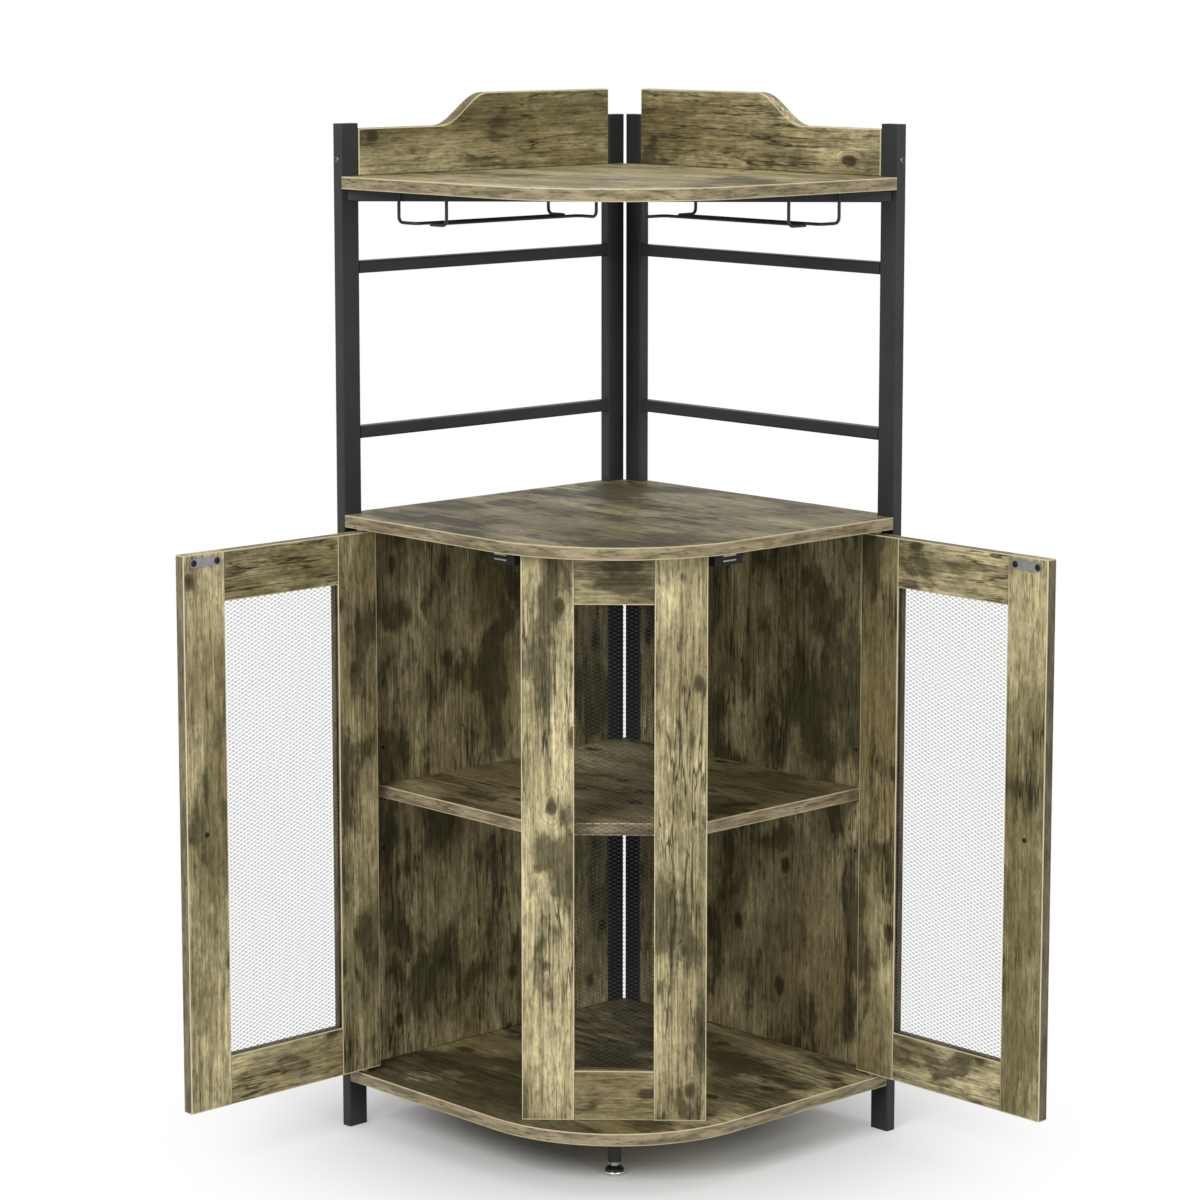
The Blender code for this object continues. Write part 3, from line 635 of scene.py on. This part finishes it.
def turned(profile, radius, place):
    """A turned solid as a bmesh; its profile starts and ends on the axis."""
    shape = bmesh.new()
    rings = []
    for share, height in profile:
        if share == 0.0:
            rings.append([shape.verts.new(place(0.0, 0.0, height))])
            continue
        ring = []
        out = radius * share
        for i in range(FOOT_SIDES):
            angle = 2.0 * math.pi * i / FOOT_SIDES
            ring.append(shape.verts.new(place(out * math.cos(angle), out * math.sin(angle), height)))
        rings.append(ring)
    for one, two in zip(rings, rings[1:]):
        for i in range(FOOT_SIDES):
            if len(one) == 1:
                shape.faces.new((one[0], two[i - 1], two[i]))
            elif len(two) == 1:
                shape.faces.new((one[i - 1], one[i], two[0]))
            else:
                shape.faces.new((one[i - 1], one[i], two[i], two[i - 1]))
    return shape


def threaded(place, low, high):
    """A threaded stem as a bmesh, in whole turns from low up to no more than high."""
    shape = bmesh.new()
    turns = int((high - low) / THREAD_PITCH)
    rings = []
    for t in range(turns * THREAD_RINGS + 1):
        ring = []
        for i in range(THREAD_SIDES):
            angle = 2.0 * math.pi * i / THREAD_SIDES
            wave = (t / THREAD_RINGS + i / THREAD_SIDES) % 1.0
            radius = THREAD_CORE + (THREAD_CREST - THREAD_CORE) * (1.0 - abs(wave - 0.5) * 2.0)
            ring.append(shape.verts.new(place(radius * math.cos(angle), radius * math.sin(angle),
                                              low + t * THREAD_PITCH / THREAD_RINGS)))
        rings.append(ring)
    for one, two in zip(rings, rings[1:]):
        for i in range(THREAD_SIDES):
            shape.faces.new((one[i - 1], one[i], two[i], two[i - 1]))
    shape.faces.new(rings[0])
    shape.faces.new(rings[-1])
    return shape


def screw_head(shape, place, radius, height, points, drive, depth):
    """Add a domed screw head with a recess: points is CROSS or HEX, drive the recess's reach."""
    spokes = []
    for i in range(HEAD_SIDES):
        angle = 2.0 * math.pi * i / HEAD_SIDES
        # 1 in the middle of an arm or at a corner of the recess, 0 halfway to the next
        wide = abs((i * points / HEAD_SIDES) % 1.0 - 0.5) * 2.0
        if points == CROSS:
            reach = drive if wide > 0.55 else drive * 0.42
        else:
            reach = drive * (0.86 + 0.14 * wide)
        profile = [(radius * share, height * rise) for share, rise in HEAD_PROFILE]
        profile += [(reach, height), (reach * 0.92, height - depth)]
        spokes.append([shape.verts.new(place(out * math.cos(angle), out * math.sin(angle), rise))
                       for out, rise in profile])
    for one, two in zip(spokes, spokes[1:] + spokes[:1]):
        for k in range(len(one) - 1):
            shape.faces.new((one[k], two[k], two[k + 1], one[k + 1]))
    shape.faces.new([spoke[-1] for spoke in spokes])
    shape.faces.new([spoke[0] for spoke in spokes])


def slab(shape, place, across, up, out, cut):
    """Add a small plate with cut corners to a bmesh, from its limits along the three directions of place."""
    (p0, p1), (q0, q1), (s0, s1) = across, up, out
    outline = [(p0 + cut, q0), (p1 - cut, q0), (p1, q0 + cut), (p1, q1 - cut),
               (p1 - cut, q1), (p0 + cut, q1), (p0, q1 - cut), (p0, q0 + cut)]
    low = [shape.verts.new(place(p, q, s0)) for p, q in outline]
    high = [shape.verts.new(place(p, q, s1)) for p, q in outline]
    shape.faces.new(low)
    shape.faces.new(high)
    for i in range(len(outline)):
        shape.faces.new((low[i - 1], low[i], high[i], high[i - 1]))


def net(place, across, up, look):
    """Expanded metal between two limits each way: zigzag strands that widen to the bonds where they meet."""
    (p0, p1), (q0, q1) = across, up
    step_p = look.net_long / 2.0
    step_q = look.net_short / 2.0
    columns = int((p1 - p0) / step_p)
    rows = int((q1 - q0) / step_q)
    start_p = (p0 + p1 - columns * step_p) / 2.0
    start_q = (q0 + q1 - (rows - 1) * step_q) / 2.0
    half_deep = look.net_bond * NET_DEEP
    verts = []
    faces = []
    for row in range(rows):
        first = len(verts)
        for i in range(2 * columns + 1):
            turn = (1.0, 0.0, -1.0, 0.0)[(i + 2 * row) % 4]
            half_wide = (look.net_bond if turn else look.net_strand) / 2.0
            p = start_p + i * step_p / 2.0
            q = start_q + row * step_q + turn * (step_q / 2.0 - half_wide)
            lean = turn * half_deep * NET_LEAN
            verts.append(place(p, q - half_wide, -half_deep + lean))
            verts.append(place(p, q + half_wide, -half_deep + lean))
            verts.append(place(p, q + half_wide, half_deep + lean))
            verts.append(place(p, q - half_wide, half_deep + lean))
        for i in range(2 * columns):
            here = first + i * 4
            for k in range(4):
                after = (k + 1) % 4
                faces.append((here + k, here + after, here + 4 + after, here + 4 + k))
        faces.append((first + 3, first + 2, first + 1, first))
        last = first + 2 * columns * 4
        faces.append((last, last + 1, last + 2, last + 3))
    return verts, faces


def panel_net(panel, look, coat):
    """Make the net of a panel, from the edges of its stiles and rails."""
    grille = panel.name + "_grille"
    deep = middle(grille, panel.through)

    def place(p, q, s):
        return panel.across * p + panel.through * (deep + s) + UP * q

    first, last = [spread(panel.name + label, panel.across) for label in panel.stiles]
    bottom, top = [spread(panel.name + label, UP) for label in ("_bottom_rail", "_top_rail")]
    wide = (first[1] - NET_TUCK, last[0] + NET_TUCK)
    tall = (bottom[1] - NET_TUCK, top[0] + NET_TUCK)
    piece = new_piece(panel.name + "_net", net(place, wide, tall, look), panel.body, coat)
    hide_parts(grille)


def finish_board(board, look, grain, across, **edges):
    """Give a board its own oak print."""
    give_finish(board, oak(board, look, grain, across, **edges))


def finish_panel(panel, look):
    """Finish the stiles and rails of a panel; each one's groove faces the window."""
    groove = (panel.through, middle(panel.name + "_grille", panel.through))
    for label, window in zip(panel.stiles, (1, -1)):
        board = panel.name + label
        edges = box_edges(board, UP, panel.across, window, groove)
        finish_board(board, look, UP, panel.across, shade=panel.shade, **edges)
    for label, window in (("_bottom_rail", 1), ("_top_rail", -1)):
        board = panel.name + label
        edges = box_edges(board, panel.across, UP, window, groove, False)
        finish_board(board, look, panel.across, UP, shade=panel.shade, **edges)


def pale_room(scene, sky):
    """A white background that lights the object less than it shows."""
    world = bpy.data.worlds.new("pale_room")
    scene.world = world
    world.use_nodes = True
    backdrop = world.node_tree.nodes["Background"]
    backdrop.inputs["Color"].default_value = WHITE
    feed(backdrop, "Strength", background_rays(Tone(world.node_tree)) * (1.0 - sky) + sky)


def pale_floor(scene):
    """The floor: it keeps the shadow near the object and is plain white further off."""
    data = bpy.data.meshes.new("floor")
    corners = [(x * FLOOR_HALF, y * FLOOR_HALF, -FLOOR_DROP) for x, y in ((-1, -1), (1, -1), (1, 1), (-1, 1))]
    data.from_pydata(corners, [], [(0, 1, 2, 3)])
    floor = bpy.data.objects.new("floor", data)
    scene.collection.objects.link(floor)
    material, place, shader = new_finish("pale_floor", FLOOR_TONE, 0.9)
    ground = place.stretched((1.0, 1.0, 0.0))
    away = place.add("ShaderNodeVectorMath", {"operation": "LENGTH"}, {0: ground}, out=1)
    fade = away.rise(*FLOOR_FADE) * background_rays(place)
    lit = Tone(material.node_tree, shader.outputs[0])
    white = place.add("ShaderNodeEmission", None, {"Color": WHITE, "Strength": 1.0})
    both = place.add("ShaderNodeMixShader", None, {0: fade, 1: lit, 2: white})
    feed(material.node_tree.nodes["Material Output"], "Surface", both)
    data.materials.append(material)


class BAR_CABINET_OT_stage(bpy.types.Operator):
    """Make the floor, the lamps, the pale surroundings and the camera"""

    bl_idname = "bar_cabinet.stage"
    bl_label = "Stage"

    def execute(self, context):
        scene = context.scene
        stage = scene.bar_cabinet_stage
        scene.view_settings.view_transform = "Standard"
        pale_room(scene, stage.sky)
        pale_floor(scene)
        for name, spot, aim, wide, power in LAMPS:
            lamp = bpy.data.lights.new(name, "AREA")
            lamp.shape = "DISK"
            lamp.size = wide
            lamp.energy = power
            item = bpy.data.objects.new(name, lamp)
            item.location = spot
            item.rotation_euler = (Vector(aim) - Vector(spot)).to_track_quat("-Z", "Y").to_euler()
            scene.collection.objects.link(item)
        eye = bpy.data.cameras.new("eye")
        eye.sensor_fit = "AUTO"
        eye.sensor_width = 36.0
        eye.lens = stage.lens
        eye.shift_y = stage.rise
        camera = bpy.data.objects.new("eye", eye)
        camera.location = stage.eye
        camera.rotation_euler = stage.turn
        scene.collection.objects.link(camera)
        scene.camera = camera
        return {"FINISHED"}


class BAR_CABINET_OT_boards(bpy.types.Operator):
    """Finish the boards, panels, guards, stiles and rails in rustic oak"""

    bl_idname = "bar_cabinet.boards"
    bl_label = "Wood boards"

    def execute(self, context):
        look = context.scene.bar_cabinet_look
        for board in ("top_shelf", "counter_top", "base_board"):
            finish_board(board, look, WALL_RUN[1], WALL_OFF[1], **shelf_edges(board))
        finish_board("inner_shelf", look, WALL_RUN[1], WALL_OFF[1], **wedge_edges("inner_shelf"))
        for side, word in SIDES:
            guard = word + "_guard"
            finish_board(guard, look, WALL_RUN[side], UP, **guard_edges(guard, side))
            finish_board(word + "_side_panel", look, UP, WALL_RUN[side])
        for panel in PANELS:
            finish_panel(panel, look)
        return {"FINISHED"}


class BAR_CABINET_OT_frame(bpy.types.Operator):
    """Finish the posts, bars, leg and stemware racks in black powder coat"""

    bl_idname = "bar_cabinet.frame"
    bl_label = "Black frame"

    def execute(self, context):
        look = context.scene.bar_cabinet_look
        coat = black_coat("frame_coat", look)
        wire = black_coat("rack_coat", look, 0.38)
        tubes = ["front_cross_bar", "centre_leg"]
        for word in ("left", "right"):
            tubes += [word + "_front_post", word + "_rear_post", word + "_upper_bar", word + "_lower_bar"]
            for label in ("_rack_outer_wire", "_rack_inner_wire"):
                give_finish(word + label, wire)
        for node in tubes:
            give_finish(node, coat)
        return {"FINISHED"}


class BAR_CABINET_OT_grilles(bpy.types.Operator):
    """Make the expanded-metal nets of the doors and the fixed panel"""

    bl_idname = "bar_cabinet.grilles"
    bl_label = "Grilles"

    def execute(self, context):
        look = context.scene.bar_cabinet_look
        coat = black_coat("net_coat", look, 0.42, 1.15)
        for panel in PANELS:
            panel_net(panel, look, coat)
        return {"FINISHED"}


class BAR_CABINET_OT_fittings(bpy.types.Operator):
    """Finish the strike plates, knobs and pins, and add the screws of the doors"""

    bl_idname = "bar_cabinet.fittings"
    bl_label = "Door fittings"

    def execute(self, context):
        look = context.scene.bar_cabinet_look
        plate_steel = plain_steel("plate_steel", (0.36, 0.37, 0.38), 0.38, (60.0, 60.0, 900.0))
        pin_steel = plain_steel("pin_steel", (0.22, 0.22, 0.22), 0.36, (400.0, 400.0, 60.0))
        screw_black = black_coat("screw_black", look, 0.50, 0.30)
        knob_coat = black_coat("knob_coat", look, 0.34)
        for side, word in SIDES:
            door = word + "_door"
            plate = door + "_strike_plate"
            knob = door + "_knob"
            across, inner = WALL_OFF[-side], WALL_OFF[side]
            give_finish(plate, plate_steel)
            give_finish(knob, knob_coat)
            for pin in (door + "_top_pivot", door + "_bottom_pivot"):
                give_finish(pin, pin_steel)
            for peg in ("shelf_peg_" + word + "_front", "shelf_peg_" + word + "_rear"):
                give_finish(peg, pin_steel)
            shape = bmesh.new()
            for sign in (-1.0, 1.0):
                off = middle(plate, across) + sign * look.plate_holes / 2.0
                centre = across * off + inner * spread(plate, inner)[1] + UP * middle(plate, UP)
                screw_head(shape, frame_of(centre, inner), look.plate_screw, *PLATE_HEAD)
            new_piece(door + "_plate_screws", shape, door, screw_black)
            shape = bmesh.new()
            face = spread(door + "_free_stile", inner)[1]
            centre = across * middle(knob, across) + inner * face + UP * middle(knob, UP)
            screw_head(shape, frame_of(centre, inner), look.knob_screw, *KNOB_HEAD)
            new_piece(door + "_knob_screw", shape, door, screw_black)
        return {"FINISHED"}


class BAR_CABINET_OT_catches(bpy.types.Operator):
    """Finish the catches and add their steel pole strips"""

    bl_idname = "bar_cabinet.catches"
    bl_label = "Catches"

    def execute(self, context):
        body = dark_plastic("catch_plastic")
        strip = plain_steel("catch_steel", (0.62, 0.62, 0.61), 0.30, (300.0, 300.0, 40.0))
        for side, word in SIDES:
            node = word + "_catch"
            give_finish(node, body)
            run, off = WALL_RUN[side], WALL_OFF[side]
            centre = run * spread(node, run)[1] + off * middle(node, off) + UP * middle(node, UP)
            place = frame_of(centre, run)
            half = spread(node, off)[1] - middle(node, off) - STRIP_ROOM
            shape = bmesh.new()
            for level in STRIP_LEVELS:
                slab(shape, place, (-half, half), (level - STRIP_HALF, level + STRIP_HALF),
                     (-STRIP_DEEP, STRIP_PROUD), STRIP_CUT)
            new_piece(node + "_strips", shape, "cabinet", strip)
        return {"FINISHED"}


class BAR_CABINET_OT_bolts(bpy.types.Operator):
    """Add the bolts that hold the guard boards to the front posts"""

    bl_idname = "bar_cabinet.bolts"
    bl_label = "Guard bolts"

    def execute(self, context):
        look = context.scene.bar_cabinet_look
        steel = plain_steel("bolt_steel", (0.16, 0.16, 0.165), 0.30, (200.0, 200.0, 200.0))
        for side, word in SIDES:
            node = word + "_front_post"
            run, off = WALL_RUN[side], WALL_OFF[side]
            centre = run * spread(node, run)[1] + off * middle(node, off) + UP * look.bolt_height
            shape = bmesh.new()
            screw_head(shape, frame_of(centre, run), look.guard_bolt, *BOLT_HEAD)
            new_piece(word + "_guard_bolt", shape, "cabinet", steel)
        return {"FINISHED"}


class BAR_CABINET_OT_foot(bpy.types.Operator):
    """Make the levelling foot: chrome sole, black dome, threaded stem"""

    bl_idname = "bar_cabinet.foot"
    bl_label = "Levelling foot"

    def execute(self, context):
        look = context.scene.bar_cabinet_look
        low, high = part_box("levelling_foot")
        axis = Vector(((low.x + high.x) / 2.0, (low.y + high.y) / 2.0, 0.0))
        wide = (high.x - low.x) / 2.0

        def place(p, q, s):
            return axis + Vector((p, q, s))

        chrome = plain_steel("sole_chrome", (0.72, 0.72, 0.72), 0.12, (80.0, 80.0, 300.0))
        dome_coat = black_coat("dome_coat", look, 0.30, 0.7)
        stem_steel = plain_steel("stem_steel", (0.45, 0.45, 0.44), 0.34, (200.0, 200.0, 200.0))
        sole = new_piece("foot_sole", turned(SOLE_PROFILE, wide, place), "foot", chrome, True)
        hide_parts("levelling_foot")
        new_piece("foot_dome", turned(DOME_PROFILE, wide, place), "foot", dome_coat, True)
        stem = threaded(place, DOME_PROFILE[-1][1], high.z)
        new_piece("foot_stem", stem, "foot", stem_steel)
        give_finish("foot_nut", stem_steel)
        return {"FINISHED"}


class BAR_CABINET_PT_panel(bpy.types.Panel):
    """The cabinet's pieces and finishes"""

    bl_label = "Bar cabinet"
    bl_space_type = "VIEW_3D"
    bl_region_type = "UI"
    bl_category = "Bar cabinet"

    def draw(self, context):
        for made in OPERATORS:
            self.layout.operator(made.bl_idname)
        for group in (context.scene.bar_cabinet_look, context.scene.bar_cabinet_stage):
            for key in group.__annotations__:
                self.layout.prop(group, key)


OPERATORS = (BAR_CABINET_OT_stage, BAR_CABINET_OT_boards, BAR_CABINET_OT_frame, BAR_CABINET_OT_grilles,
             BAR_CABINET_OT_fittings, BAR_CABINET_OT_catches, BAR_CABINET_OT_bolts, BAR_CABINET_OT_foot)
CLASSES = (BarCabinetLook, BarCabinetStage) + OPERATORS + (BAR_CABINET_PT_panel,)


def register():
    for made in CLASSES:
        bpy.utils.register_class(made)
    bpy.types.Scene.bar_cabinet_look = bpy.props.PointerProperty(type=BarCabinetLook)
    bpy.types.Scene.bar_cabinet_stage = bpy.props.PointerProperty(type=BarCabinetStage)


def unregister():
    del bpy.types.Scene.bar_cabinet_stage
    del bpy.types.Scene.bar_cabinet_look
    for made in reversed(CLASSES):
        bpy.utils.unregister_class(made)


def main():
    register()
    bpy.ops.bar_cabinet.stage()
    bpy.ops.bar_cabinet.boards()
    bpy.ops.bar_cabinet.frame()
    bpy.ops.bar_cabinet.grilles()
    bpy.ops.bar_cabinet.fittings()
    bpy.ops.bar_cabinet.catches()
    bpy.ops.bar_cabinet.bolts()
    bpy.ops.bar_cabinet.foot()


if __name__ == "__main__":
    main()
